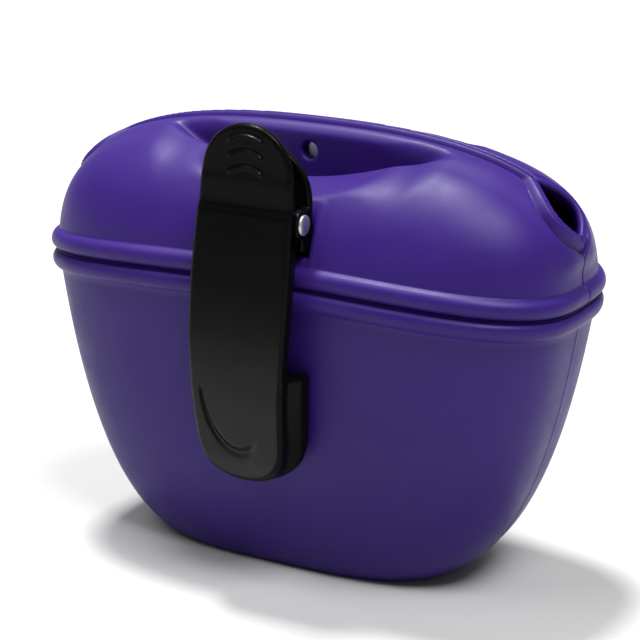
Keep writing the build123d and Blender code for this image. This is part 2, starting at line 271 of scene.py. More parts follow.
# ---------------------------------------------------------------- pouch wall
WALL = 2.6                  # thickness
ROUNDNESS = 3.0             # power of the super-ellipse that the plan follows
WAIST = 1.0                 # how far the middle of each long side is pulled in
ARCH = 3.8                  # how much higher the join is at its middle than at its ends
RIM_X = 63.2                # half the length and depth at the join
RIM_Y = 31.6
RIM_Z = BUCKET_TOP - ARCH   # height of the join at its ends
BASE_X = 29.6               # half the length and depth at the base
BASE_Y = 17.4
HOOD_Z = 32.8               # from the join's ends to the top of the hood
HOOD_POWER = 2.26           # fullness of the hood seen from the end
BEAD = 1.7                  # how far each bead stands proud
BEAD_TALL = 2.1             # half the height of a bead
BEAD_CENTRE = 2.5           # from the join to the middle of each bead
CROWN_FOOT = (85.0, 91.0)   # heights between which the hood's side turns into its crown
HALVINGS = 22


def bezier(t, a, b, c, d):
    """Cubic curve through a and d, pulled towards b and c."""
    s = 1 - t
    return a * s**3 + 3 * b * s**2 * t + 3 * c * s * t**2 + d * t**3


ALONG = np.linspace(0, 1, 600)
BUCKET_RISE = bezier(ALONG, 0, 0, 0.78 * RIM_Z, RIM_Z)
BUCKET_X = bezier(ALONG, BASE_X, BASE_X + 0.76 * (RIM_X - BASE_X), RIM_X - 2, RIM_X)
BUCKET_Y = bezier(ALONG, BASE_Y, BASE_Y + 0.44 * (RIM_Y - BASE_Y), RIM_Y - 1.5, RIM_Y)
HOOD_RISE = bezier(ALONG, 0, 0.53, 1, 1)
HOOD_X = bezier(ALONG, RIM_X, RIM_X, 0.95 * RIM_X, 0)
HOOD_Y = RIM_Y * (1 - HOOD_RISE**HOOD_POWER) ** (1 / HOOD_POWER)
WALL_Z = np.concatenate([BUCKET_RISE, RIM_Z + HOOD_Z * HOOD_RISE[1:]])
WALL_X = np.concatenate([BUCKET_X, HOOD_X[1:]])
WALL_Y = np.concatenate([BUCKET_Y, HOOD_Y[1:]])


def join_height(x):
    """Height of the arched join between bucket and hood."""
    return RIM_Z + ARCH * np.maximum(0, 1 - (x / RIM_X) ** 2)


def plan_ratio(x, y, z):
    """Size of the plan outline through a point, as a share of the wall's outline, minus one."""
    half_x = np.maximum(np.interp(z, WALL_Z, WALL_X), 0.5)
    half_y = np.maximum(np.interp(z, WALL_Z, WALL_Y), 0.3)
    pull = WAIST * np.minimum(half_y / RIM_Y, 1) * np.maximum(0, 1 - (x / half_x) ** 2) ** 2
    across = np.abs(y) + pull
    return ((np.abs(x) / half_x) ** ROUNDNESS + (across / half_y) ** ROUNDNESS) ** (1 / ROUNDNESS) - 1


def crown_height(x, y):
    """Height of the hood's top above a point in the plan, found by halving the gap."""
    low = np.full(np.broadcast(x, y).shape, RIM_Z)
    high = np.full(low.shape, RIM_Z + HOOD_Z)
    for _ in range(HALVINGS):
        middle = (low + high) / 2
        outside = plan_ratio(x, y, middle) > 0
        high = np.where(outside, middle, high)
        low = np.where(outside, low, middle)
    return (low + high) / 2


CROWN_STEP = 0.25
CROWN_X = np.arange(0, 70, CROWN_STEP)
CROWN_Y = np.arange(0, 40, CROWN_STEP)
CROWN_Z = crown_height(CROWN_X[:, None], CROWN_Y[None, :])


def crown_at(x, y):
    """Crown height looked up between the points of a fine grid."""
    u, v = np.abs(x) / CROWN_STEP, np.abs(y) / CROWN_STEP
    i = np.minimum(u.astype(int), len(CROWN_X) - 2)
    j = np.minimum(v.astype(int), len(CROWN_Y) - 2)
    u, v = u - i, v - j
    near = CROWN_Z[i, j] * (1 - u) + CROWN_Z[i + 1, j] * u
    far = CROWN_Z[i, j + 1] * (1 - u) + CROWN_Z[i + 1, j + 1] * u
    return near * (1 - v) + far * v


def from_crown(x, y, z):
    """Distance above the hood's top, good where the top is not steep."""
    reach = 0.5
    top = crown_at(x, y)
    slope_x = (crown_at(x + reach, y) - crown_at(x - reach, y)) / (2 * reach)
    slope_y = (crown_at(x, y + reach) - crown_at(x, y - reach)) / (2 * reach)
    return (z - top) / np.sqrt(1 + slope_x**2 + slope_y**2)


def dome(x, y, z):
    """Near distance outside the plain hood surface, from its sides low down and its crown high up."""
    share = step_up(z, *CROWN_FOOT)
    side = as_distance(plan_ratio, x, y, np.minimum(z, RIM_Z + HOOD_Z - 1.0))
    return side * (1 - share) + from_crown(x, y, z) * share


# ---------------------------------------------------------------- hood details
LIP = 6.2                   # thickness of each lip
LIP_HALF_LENGTH = 45.0
LIP_ROOT_Z = 84.0           # the lips are solid above this height
SLIT = 0.3                  # each lip's face from the middle plane
SLIT_SHUT = 0.02            # the same below the openings, where the halves meet
SLIT_FOOT = (78.5, 81.0)    # heights between which the slit opens
MOUTH_RAISE = 1.0           # the hood stands this much higher along the slit and round its ends
BAND_FADE = (4.0, 12.0)     # distances from the slit between which that fades
RELIEF_FOOT = (73.0, 77.0)  # heights between which the mouth's relief grows
MOUTH_RIM = (0.65, 0.85, 0.55)      # height, distance from the mouth's edge and half-width of each line
MOUTH_GROOVE = (1.25, 2.15, 0.5)
MOUTH_LINING = (0.55, 0.4, 0.45)
SLIT_LINE_END = (83.0, 89.0)        # heights where the slit's lines give way to the opening's
RECESS_LENGTH = 36.0        # half the length of the finger recess beside each lip
RECESS_WIDTH = 9.6
RECESS_DEPTH = 13.0
SHELF_Z = 89.4              # height of the recess's outer edge at its middle
SHELF_RISE = (0.0222, 1.7)  # factor and power of the edge's rise away from the middle
SHELF_FALL = 0.24           # slope of the shelf outwards
SHELF_END = 26.0            # the shelf curls up more steeply beyond this
SHELF_CURL = 0.03
SHELF_BLEND = (0.9, 5.5)    # rounding of the shelf's crease at the middle and at the ends
SHELF_BLEND_X = (17.0, 30.0)
OPENING_TOP = (51.8, 92.4)  # x and z of the upper and lower tip of the opening at each end
OPENING_LOW = (61.7, 81.2)
OPENING_WIDTH = 5.0
OPENING_SKEW = 0.3          # the opening is widest below its middle
OPENING_BORDER = 0.8        # width of the border that the slit's rim follows round each opening
UNDERCUT = 0.9              # how much the opening narrows for each millimetre below the surface
UNDERCUT_START = 0.4        # height over the surface where that begins
WINDOW = (0.3, 1.2, 1.9)    # round window over the magnet: x, height over the magnet, radius
WINDOW_DEPTH = 3.45         # the window is cut from outside to this y
SEAT_RADIUS = 5.06
SEAT_Y = (1.45, 3.56)
BOSS_LOW = (-14.0, 23.4, 74.5)
BOSS_HIGH = (14.0, 40.0, 88.0)
PLATE_ROOM = (0.35, 0.06, 0.3)      # clearance round the clip's plate: beside, behind and below

OPENING_LENGTH = math.hypot(OPENING_LOW[0] - OPENING_TOP[0], OPENING_TOP[1] - OPENING_LOW[1])
OPENING_RUN = (OPENING_LOW[0] - OPENING_TOP[0]) / OPENING_LENGTH
OPENING_FALL = (OPENING_TOP[1] - OPENING_LOW[1]) / OPENING_LENGTH


def opening_gap(x, y, z, grow=0.0):
    """Distance outside the almond opening at either end of the slit, measured in the opening's plane."""
    along = (np.abs(x) - OPENING_TOP[0]) * OPENING_RUN + (OPENING_TOP[1] - z) * OPENING_FALL + grow
    length = OPENING_LENGTH + 2 * grow
    share = np.clip(2 * along / length - 1, -1, 1)
    beyond = np.maximum(np.maximum(-along, along - length), 0)
    full = OPENING_WIDTH + grow
    skew = 1 + OPENING_SKEW * share
    width = full * (1 - share**2) * skew
    slope = np.abs(full * (OPENING_SKEW * (1 - share**2) - 2 * share * skew) * 2 / length)
    return (np.abs(y) - width + beyond * slope) / np.sqrt(1 + slope**2)


def recess_plan(x):
    """Share of the recess's width left at x."""
    return np.maximum(1 - (x / RECESS_LENGTH) ** 2, 0.02)


def recess_bowl(x, y, z):
    """Size of the recess's bowl through a point, as a share of its real size, minus one."""
    taper = recess_plan(x)
    across = (np.abs(y) - LIP) / (RECESS_WIDTH * taper)
    down = (LIP_TOP + 1.0 - z) / (RECESS_DEPTH * taper**0.7)
    return np.sqrt(across**2 + np.maximum(down, 0) ** 2) - 1


def recess_gap(x, y, z):
    """Distance outside the finger recess beside a lip."""
    beside = (np.abs(y) - LIP - RECESS_WIDTH * recess_plan(x)) * 0.88
    bowl = np.maximum(as_distance(recess_bowl, x, y, z), beside)
    return smooth_max(bowl, LIP - np.abs(y), 2.0)


def shelf_gap(x, y, z):
    """Distance below the gently sloping shelf between the finger recess and the crease on the shoulder."""
    edge = LIP + RECESS_WIDTH * recess_plan(x)
    factor, power = SHELF_RISE
    height = SHELF_Z + factor * np.abs(x) ** power - SHELF_FALL * (np.abs(y) - edge)
    height = height + SHELF_CURL * np.maximum(np.abs(x) - SHELF_END, 0) ** 2
    return smooth_max((height - z) * 0.95, LIP + 2.0 - np.abs(y), 1.5)


def raised_line(distance, height, centre, width):
    """Height of a raised line that runs at one distance from an edge."""
    return height * bump(distance, centre, width)


def mouth_relief(x, y, z, opening):
    """Height of the raised band, rim and groove along the slit and round the openings at its ends."""
    away = np.abs(y)
    along_slit = away + 8.0 * (1 - step_up(z, *SLIT_LINE_END))
    track = smooth_min(along_slit, opening_gap(x, y, z, OPENING_BORDER), 0.6)
    band = MOUTH_RAISE * (1 - step_up(away, *BAND_FADE))
    lines = raised_line(track, *MOUTH_RIM) - raised_line(track, *MOUTH_GROOVE)
    return band + lines + raised_line(opening, *MOUTH_LINING)


def hood_outside(x, y, z, plain, opening):
    """Distance outside the hood's outer surface with its shelf, rims and bead, without recess and slit."""
    wall = plain - mouth_relief(x, y, z, opening) * step_up(z, *RELIEF_FOOT)
    sharp, soft = SHELF_BLEND
    blend = sharp + (soft - sharp) * step_up(np.abs(x), *SHELF_BLEND_X)
    wall = smooth_max(wall, -shelf_gap(x, y, z), blend)
    bead = np.sqrt((plain / BEAD) ** 2 + ((z - join_height(x) - BEAD_CENTRE) / BEAD_TALL) ** 2) - 1
    return smooth_min(wall, bead * BEAD, 0.35)


def hood_hollow(x, y, z, plain, recess):
    """Distance outside the hood's hollow, which leaves the wall and the solid lips standing."""
    shelved = smooth_max(plain, -shelf_gap(x, y, z), 1.0)
    hollow = smooth_max(shelved + WALL, WALL - recess, 2.0)
    lips = np.maximum(np.abs(x) - LIP_HALF_LENGTH, np.maximum(y - LIP, LIP_ROOT_Z - z))
    return smooth_max(hollow, -lips, 2.0)


def with_magnet_seat(solid, x, y, z):
    """Cuts the round window in the lip and the closed seat behind it that holds the magnet."""
    offset_x, offset_z, radius = WINDOW
    window = np.sqrt((x - offset_x) ** 2 + (z - MAGNET_Z - offset_z) ** 2) - radius
    window = np.maximum(window, WINDOW_DEPTH - y)
    seat = np.sqrt(x**2 + (z - MAGNET_Z) ** 2) - SEAT_RADIUS
    seat = np.maximum(seat, np.maximum(SEAT_Y[0] - y, y - SEAT_Y[1]))
    return np.maximum(smooth_max(solid, -window, 0.5), -seat)


def with_boss(solid, plain, x, y, z):
    """Adds the silicone boss inside the wall and cuts the seat for the clip's plate."""
    boss = box_field(x, y, z, BOSS_LOW, BOSS_HIGH, 0.8)
    solid = smooth_min(solid, smooth_max(boss, plain, 0.8), 0.8)
    low = [edge - room for edge, room in zip(PLATE_LOW, PLATE_ROOM)]
    high = (PLATE_HIGH[0] + PLATE_ROOM[0], 60.0, 140.0)
    return smooth_max(solid, -box_field(x, y, z, low, high, 0.5), 1.0)


def hood_field(side):
    """Field of the front (-1) or back (+1) half of the hood."""
    def field(x, y, z):
        y = side * y
        plain = dome(x, y, z)
        opening = opening_gap(x, y, z)
        recess = recess_gap(x, y, z)
        outside = hood_outside(x, y, z, plain, opening)
        solid = smooth_max(outside, -hood_hollow(x, y, z, plain, recess), 0.8)
        edge_blend = 1.0 + 4.0 * recess_plan(x) * (1 - step_up(y, LIP + 2.0, LIP + 6.0))
        solid = smooth_max(solid, -recess, edge_blend)
        undercut = UNDERCUT * np.maximum(UNDERCUT_START - plain, 0)
        solid = smooth_max(solid, undercut - opening, 0.6)
        solid = with_magnet_seat(solid, x, y, z)
        if side > 0:
            solid = with_boss(solid, plain, x, y, z)
        solid = smooth_max(solid, join_height(x) + 0.03 - z, 0.3)
        slit = SLIT_SHUT + (SLIT - SLIT_SHUT) * step_up(z, *SLIT_FOOT)
        return smooth_max(solid, slit - y, 0.5)
    return field


# ---------------------------------------------------------------- bucket
BUCKET_ROWS = 46
BEARINGS = 192
SEAM_OFFSETS = (-0.018, -0.010, -0.005, 0.005, 0.010, 0.018)   # extra bearings by the parting line
SEAM_HEIGHT = 0.14
SEAM_WIDTH = 0.35
ARCH_FOOT = 36.0            # the bucket's rows start to follow the arch above this height
FLOOR_ROUND = 1.5           # how far the inside floor's edge is pulled in from the wall
FLOOR_RINGS = (0.85, 0.6, 0.3)      # sizes of the floor's inner rings, as shares of its edge


def bucket_profile():
    """Height and distance from the outer surface of each row: outside, bead, rim, inside."""
    heights = RIM_Z * (1 - np.cos(np.linspace(0, math.pi / 2, BUCKET_ROWS)) ** 1.2)
    bead_z = RIM_Z - BEAD_CENTRE
    profile = [(z, 0.0) for z in heights[heights < bead_z - BEAD_TALL - 1.0]]
    profile.append((bead_z - BEAD_TALL - 0.35, 0.0))
    for turn in np.radians(np.linspace(-78, 84, 21)):
        profile.append((bead_z + BEAD_TALL * math.sin(turn), BEAD * math.cos(turn)))
    profile += [(bead_z + BEAD_TALL + 0.1, 0.0), (RIM_Z - 0.05, 0.0)]
    profile += [(RIM_Z - 0.03, -WALL * 0.3), (RIM_Z - 0.05, -WALL * 0.85)]
    profile += [(z, -WALL) for z in reversed(heights[(heights < RIM_Z - 1) & (heights > WALL + 1)])]
    profile.append((WALL, -WALL - FLOOR_ROUND))
    return profile


def bucket_piece(material):
    """Lower container as a closed lofted shell."""
    bearings = bucket_bearings()
    rings = [ring_points(bearings, z, out) for z, out in bucket_profile()]
    rows = centre_rings(rings[0], 0.0)[::-1] + rings + centre_rings(rings[-1], WALL)
    count = len(bearings)
    last_row = (len(rows) - 1) * count
    under = len(rows) * count
    above = under + 1
    points = np.concatenate(rows + [[(0, 0, 0.0), (0, 0, WALL)]])
    faces = ring_quads(len(rows), count)
    for i in range(count):
        j = (i + 1) % count
        faces += [(under, j, i), (above, last_row + i, last_row + j)]
    return mesh_piece("bucket_shell", points, faces, material)


def bucket_bearings():
    """Directions round the bucket, closer together at the parting line on its ends."""
    even = np.linspace(0, 2 * math.pi, BEARINGS, endpoint=False)
    fine = [end + offset for end in (0, math.pi) for offset in SEAM_OFFSETS]
    return np.sort(np.mod(np.concatenate([even, fine]), 2 * math.pi))


def outline_reach(cosine, sine, half_x, half_y):
    """Distance from the centre to the plan's super-ellipse in one direction."""
    return (abs(cosine / half_x) ** ROUNDNESS + abs(sine / half_y) ** ROUNDNESS) ** (-1 / ROUNDNESS)


def ring_points(bearings, z, out):
    """Points round the wall near height z, raised by the arch near the join and moved outwards by out."""
    points = []
    half_x = np.interp(z, WALL_Z, WALL_X)
    half_y = np.interp(z, WALL_Z, WALL_Y)
    for turn in bearings:
        bearing = math.atan2(half_y * math.sin(turn), half_x * math.cos(turn))
        cosine, sine = math.cos(bearing), math.sin(bearing)
        level_x = outline_reach(cosine, sine, half_x, half_y) * cosine
        lift = ARCH * max(0, 1 - (level_x / RIM_X) ** 2) * step_up(z, ARCH_FOOT, RIM_Z - 4)
        wide = np.interp(z + lift, WALL_Z, WALL_X)
        deep = np.interp(z + lift, WALL_Z, WALL_Y)
        reach = outline_reach(cosine, sine, wide, deep)
        x, y = reach * cosine, reach * sine
        normal = np.array([abs(x / wide) ** 2 / wide * np.sign(x), abs(y / deep) ** 2 / deep * np.sign(y)])
        normal /= np.linalg.norm(normal)
        pull = WAIST * min(deep / RIM_Y, 1) * (1 - (x / wide) ** 2) ** 2
        seam = SEAM_HEIGHT * bump(y, 0, SEAM_WIDTH) if out == 0 else 0
        points.append((x + normal[0] * (out + seam), y - np.sign(y) * pull + normal[1] * out, z + lift))
    return np.array(points)


def centre_rings(ring, z):
    """Smaller and smaller copies of a floor's outer ring, towards its centre."""
    rings = []
    for share in FLOOR_RINGS:
        smaller = ring * share
        smaller[:, 2] = z
        rings.append(smaller)
    return rings


# ---------------------------------------------------------------- clip arm
ARM_FOOT = ARM_BOTTOM + 1.0
FOOT_TALL = 11.0            # height of the rounded foot
FOOT_POWER = 2.5
TAB_RADIUS = 10.9
ARM_HALF_WIDTH = ((24.8, 9.9), (47, 11.0), (58, 11.6), (72, 11.85), (89, 11.4), (95, 10.9), (104.8, 10.9))
ARM_FRONT = (               # height and y of the arm's outer face
    (24.8, 34.0), (31, 36.4), (39.5, 38.0), (47, 39.0), (58, 39.1),
    (69, 38.0), (79, 36.6), (89, 35.0), (95, 34.2), (104.8, 34.2),
)
ARM_EDGE = 1.3              # rounding of the arm's edges
SKIN = 2.2                  # thickness of the arm's face
FLANGE_DEPTH = 4.2          # how far the stiffening flange reaches behind the face
FLANGE_WALL = 1.8
FLANGE_TOP = 79.0
DISH_FOOT = (85.5, 87.4)    # heights between which the shallow dish across the tab deepens and ends
DISH_TOP = (87.4, 93.0)
DISH_DEPTH = 0.5
ARC_TOPS = (102.3, 98.9, 95.5)
ARC_RADIUS = 7.0
ARC_HALF_LENGTH = 4.4
ARC_WIDTH = 0.3
ARC_HEIGHT = 0.75
BARREL_X = 7.6              # middle and half-length of each knuckle round the pin
BARREL_RADIUS = 2.6
BARREL_STRETCH = 1.6        # how far the knuckles are stretched outwards into the arm's face
PIN_BORE = 1.56
COIL_ROOM = (2.75, 4.4)     # radius and half-length of the room for the spring's coil
EAR_ROOM = (3.35, 10.25)    # radius and start in x of the room for the bracket's ears

CRESCENT_Z = ARM_FOOT + 23.0
CRESCENT_X = 8.3            # half-axes of the ellipse that the groove follows
CRESCENT_TALL = 16.0
CRESCENT_DEPTH = 0.7
CRESCENT_WIDTH = (0.62, 0.32)       # at the bottom and at the upper end
CRESCENT_FADE_X = (-5.2, -2.2)
CRESCENT_FADE_Z = 3.5

HOOK_TOP = 51.0
HOOK_BACK = ((24.8, 30.6), (34.0, 27.6), (50.0, 29.3))
HOOK_FLARE = 2.3            # how much the hook's sides widen towards the pouch
FLARE_DEPTHS = (1.5, 7.0)   # distances behind the arm's face between which they do
HOOK_WALL = 2.0
HOOK_FLOOR = 31.0           # height of the hollow's floor
HOOK_SLANT = (24.8, 31.2, 3.0)      # height and y where the underside starts, and how steeply it rises


def smooth_table(table):
    """Smooth curve through a few points, sampled finely enough to interpolate."""
    fine = np.linspace(table[0][0], table[-1][0], 400)
    rough = from_table(fine, table)
    kernel = np.hanning(31)
    kernel /= kernel.sum()
    padded = np.concatenate([np.full(15, rough[0]), rough, np.full(15, rough[-1])])
    return fine, np.convolve(padded, kernel, mode="valid")


ARM_CURVE = smooth_table(ARM_FRONT)


def arm_front(z):
    """y of the arm's outer face at a height."""
    return np.interp(z, *ARM_CURVE)


def from_pin(y, z):
    """Distance from the pin's axis."""
    return np.sqrt((y - PIN_Y) ** 2 + (z - PIN_Z) ** 2)


def arm_plan(x, z):
    """Distance outside the arm's front outline."""
    half = from_table(z, ARM_HALF_WIDTH)
    side = np.abs(x) - half
    top = np.sqrt(x**2 + np.maximum(z - (ARM_TOP - TAB_RADIUS), 0) ** 2) - TAB_RADIUS
    drop = np.maximum(ARM_FOOT + FOOT_TALL - z, 0) / FOOT_TALL
    foot = (((np.abs(x) / half) ** FOOT_POWER + drop**FOOT_POWER) ** (1 / FOOT_POWER) - 1) * half
    gap = np.where(z > ARM_TOP - TAB_RADIUS, top, side)
    return np.where(z < ARM_FOOT + FOOT_TALL, foot, gap)


def thumb_arcs(x, z):
    """Height of the three raised arcs on the thumb tab."""
    height = 0
    ends = step_up(ARC_HALF_LENGTH - np.abs(x), 0, 0.8)
    for top in ARC_TOPS:
        radius = np.sqrt(x**2 + (z - top + ARC_RADIUS) ** 2)
        arc = bump(radius, ARC_RADIUS, ARC_WIDTH) * ends * (z > top - 4)
        height = height + ARC_HEIGHT * arc
    return height


def crescent(x, z):
    """Depth of the groove that follows the foot's bottom and one side."""
    radius = np.sqrt((x / CRESCENT_X) ** 2 + ((z - CRESCENT_Z) / CRESCENT_TALL) ** 2)
    wide, thin = CRESCENT_WIDTH
    width = wide + (thin - wide) * step_up(z, CRESCENT_Z - 15.0, CRESCENT_Z)
    track = bump((radius - 1) * CRESCENT_X, 0.0, width)
    ends = step_up(x, *CRESCENT_FADE_X) * (1 - step_up(z, CRESCENT_Z - CRESCENT_FADE_Z, CRESCENT_Z))
    return CRESCENT_DEPTH * track * ends


def hook_field(x, y, z, plan, front):
    """Hollow hook at the arm's foot, reaching in to the bucket."""
    back = from_table(z, HOOK_BACK)
    hook = smooth_max(back - y, front + 1.0, 0.8)
    hook = smooth_max(hook, z - HOOK_TOP, 0.8)
    hook = smooth_max(hook, plan - HOOK_FLARE * step_up(-front, *FLARE_DEPTHS), 1.0)
    start_z, start_y, steepness = HOOK_SLANT
    slant = start_z + np.maximum(0, start_y - y) * steepness - z
    hook = smooth_max(hook, slant * 0.35, 0.8)
    pocket = smooth_max(back + HOOK_WALL - y, y - arm_front(z) + SKIN, 0.6)
    pocket = smooth_max(pocket, HOOK_FLOOR - z, 0.6)
    pocket = smooth_max(pocket, plan + HOOK_WALL, 0.6)
    return smooth_max(hook, -pocket, 0.5)


def with_barrels(arm, x, y, z):
    """Adds the two knuckles that turn on the pin."""
    stretch = np.where(y > PIN_Y, np.maximum(y - PIN_Y - BARREL_STRETCH, 0), PIN_Y - y)
    barrel = np.sqrt(stretch**2 + (z - PIN_Z) ** 2) - BARREL_RADIUS
    for end in (-1, 1):
        arm = smooth_min(arm, np.maximum(barrel, np.abs(end * x - BARREL_X) - BARREL_RADIUS), 0.5)
    return arm


def arm_field(x, y, z):
    """Field of the belt clip's arm."""
    plan = arm_plan(x, z)
    dish = DISH_DEPTH * step_up(z, *DISH_FOOT) * (1 - step_up(z, *DISH_TOP))
    front = (y - arm_front(z)) * 0.97 - thumb_arcs(x, z) + dish + crescent(x, z)
    skin = smooth_max(front, -(front + SKIN), 0.6)
    skin = smooth_max(skin, plan, ARM_EDGE)
    flange = smooth_max(front + 1.0, -(front + FLANGE_DEPTH), 0.6)
    flange = smooth_max(flange, plan, ARM_EDGE)
    flange = smooth_max(flange, -(plan + FLANGE_WALL), 0.5)
    flange = smooth_max(flange, z - FLANGE_TOP, 0.6)
    arm = smooth_min(skin, flange, 0.8)
    arm = smooth_min(arm, hook_field(x, y, z, plan, front), 0.8)
    arm = with_barrels(arm, x, y, z)
    away = from_pin(y, z)
    arm = np.maximum(arm, PIN_BORE - away)
    coil_room = np.maximum(away - COIL_ROOM[0], np.abs(x) - COIL_ROOM[1])
    ear_room = np.maximum(away - EAR_ROOM[0], EAR_ROOM[1] - np.abs(x))
    return np.maximum(arm, -np.minimum(coil_room, ear_room))


# ---------------------------------------------------------------- clip bracket
PLATE_RADIUS = 12.2
PLATE_Y = 27.5              # middle of the plate's thickness
EAR_RADIUS = 3.0
EAR_END = 33.5              # outermost y of the ears
EAR_X = 11.3                # middle of each ear's thickness
SHEET_HALF = 0.9            # half the thickness of the plate and the ears
ROOT_DROP = 1.5             # middle of each ear's root, below the pin
ROOT_HALF_TALL = 4.5
ROOT_Y = 29.5
ROOT_HALF_DEEP = 1.7
BRACKET_BORE = 1.53


def bracket_field(x, y, z):
    """Field of the bracket: round-topped plate with two ears."""
    rise = np.maximum(z - (PLATE_HIGH[2] - PLATE_RADIUS), 0)
    outline = np.sqrt(x**2 + rise**2) - PLATE_RADIUS
    plate = smooth_max(outline, np.abs(y - PLATE_Y) - SHEET_HALF, 0.6)
    plate = smooth_max(plate, PLATE_LOW[2] - z, 0.6)
    away = from_pin(y, z)
    ear = smooth_max(away - EAR_RADIUS, y - EAR_END, 0.3)
    root = np.maximum(np.abs(z - (PIN_Z - ROOT_DROP)) - ROOT_HALF_TALL, np.abs(y - ROOT_Y) - ROOT_HALF_DEEP)
    ear = smooth_min(ear, root, 0.6)
    ear = smooth_max(ear, np.abs(np.abs(x) - EAR_X) - SHEET_HALF, 0.4)
    return np.maximum(smooth_min(plate, ear, 0.8), BRACKET_BORE - away)


# ---------------------------------------------------------------- spring and pin
COIL_RADIUS = 2.2
COIL_TURNS = 5.5
COIL_HALF_LENGTH = 3.6
LEG_LENGTH = 12.0
WIRE_RADIUS = 0.35
WIRE_SIDES = 10
COIL_POINTS = 150
LEG_POINTS = 25
LEG_LEAN = 5.0              # height over which the outer leg leans in to the pin's plane
HEAD_RADIUS = 2.25
HEAD_DOME = 0.6
SHANK_RADIUS = 1.5
PIN_SIDES = 36


def spring_path():
    """Middle line of the torsion spring: leg on the bracket, coil round the pin, leg behind the tab."""
    turn = np.linspace(0, 1, COIL_POINTS)
    angle = math.pi + 2 * math.pi * COIL_TURNS * turn
    x = COIL_HALF_LENGTH * (2 * turn - 1)
    coil = np.stack([x, PIN_Y + COIL_RADIUS * np.cos(angle), PIN_Z + COIL_RADIUS * np.sin(angle)], axis=1)
    rise = np.linspace(0, LEG_LENGTH, LEG_POINTS)[1:]
    low_leg = np.stack([0 * rise - COIL_HALF_LENGTH, 0 * rise + PIN_Y - COIL_RADIUS, PIN_Z + rise], axis=1)
    lean = COIL_RADIUS * (1 - step_up(rise, 0, LEG_LEAN))
    high_leg = np.stack([0 * rise + COIL_HALF_LENGTH, PIN_Y + lean + 0.1, PIN_Z + rise], axis=1)
    return np.concatenate([low_leg[::-1], coil, high_leg])


def spring_piece(material):
    """Torsion spring as round wire along its path, closed at both ends."""
    path = spring_path()
    along = np.gradient(path, axis=0)
    along /= np.linalg.norm(along, axis=1, keepdims=True)
    side = np.array([1.0, 0.0, 0.0])
    points = []
    for centre, way in zip(path, along):
        side = side - way * (side @ way)
        side /= np.linalg.norm(side)
        other = np.cross(way, side)
        for angle in 2 * math.pi * np.arange(WIRE_SIDES) / WIRE_SIDES:
            points.append(centre + WIRE_RADIUS * (side * math.cos(angle) + other * math.sin(angle)))
    return mesh_piece("clip_spring", points, tube_faces(len(path), WIRE_SIDES), material)


def pin_profile():
    """x and radius along the pin: domed head, shank and a chamfered flush end."""
    head, end = PIN_LOW[0], PIN_HIGH[0]
    dome_turns = np.linspace(0.03, math.pi / 2, 9)
    profile = [(head + 0.5 - HEAD_DOME * math.cos(a), HEAD_RADIUS * math.sin(a)) for a in dome_turns]
    profile += [(head + 0.74, HEAD_RADIUS), (head + 0.79, HEAD_RADIUS - 0.05)]
    profile += [(head + 0.79, SHANK_RADIUS + 0.1), (head + 0.8, SHANK_RADIUS), (head + 0.9, SHANK_RADIUS)]
    profile += [(end - 0.3, SHANK_RADIUS), (end - 0.25, SHANK_RADIUS - 0.02)]
    return profile + [(end - 0.04, SHANK_RADIUS - 0.25), (end, SHANK_RADIUS - 0.3), (end, 0.05)]


def pin_piece(material):
    """Pivot pin, turned about its axis."""
    profile = pin_profile()
    points = []
    for x, radius in profile:
        for angle in 2 * math.pi * np.arange(PIN_SIDES) / PIN_SIDES:
            points.append((x, PIN_Y + radius * math.cos(angle), PIN_Z + radius * math.sin(angle)))
    return mesh_piece("clip_pin", points, tube_faces(len(profile), PIN_SIDES), material)


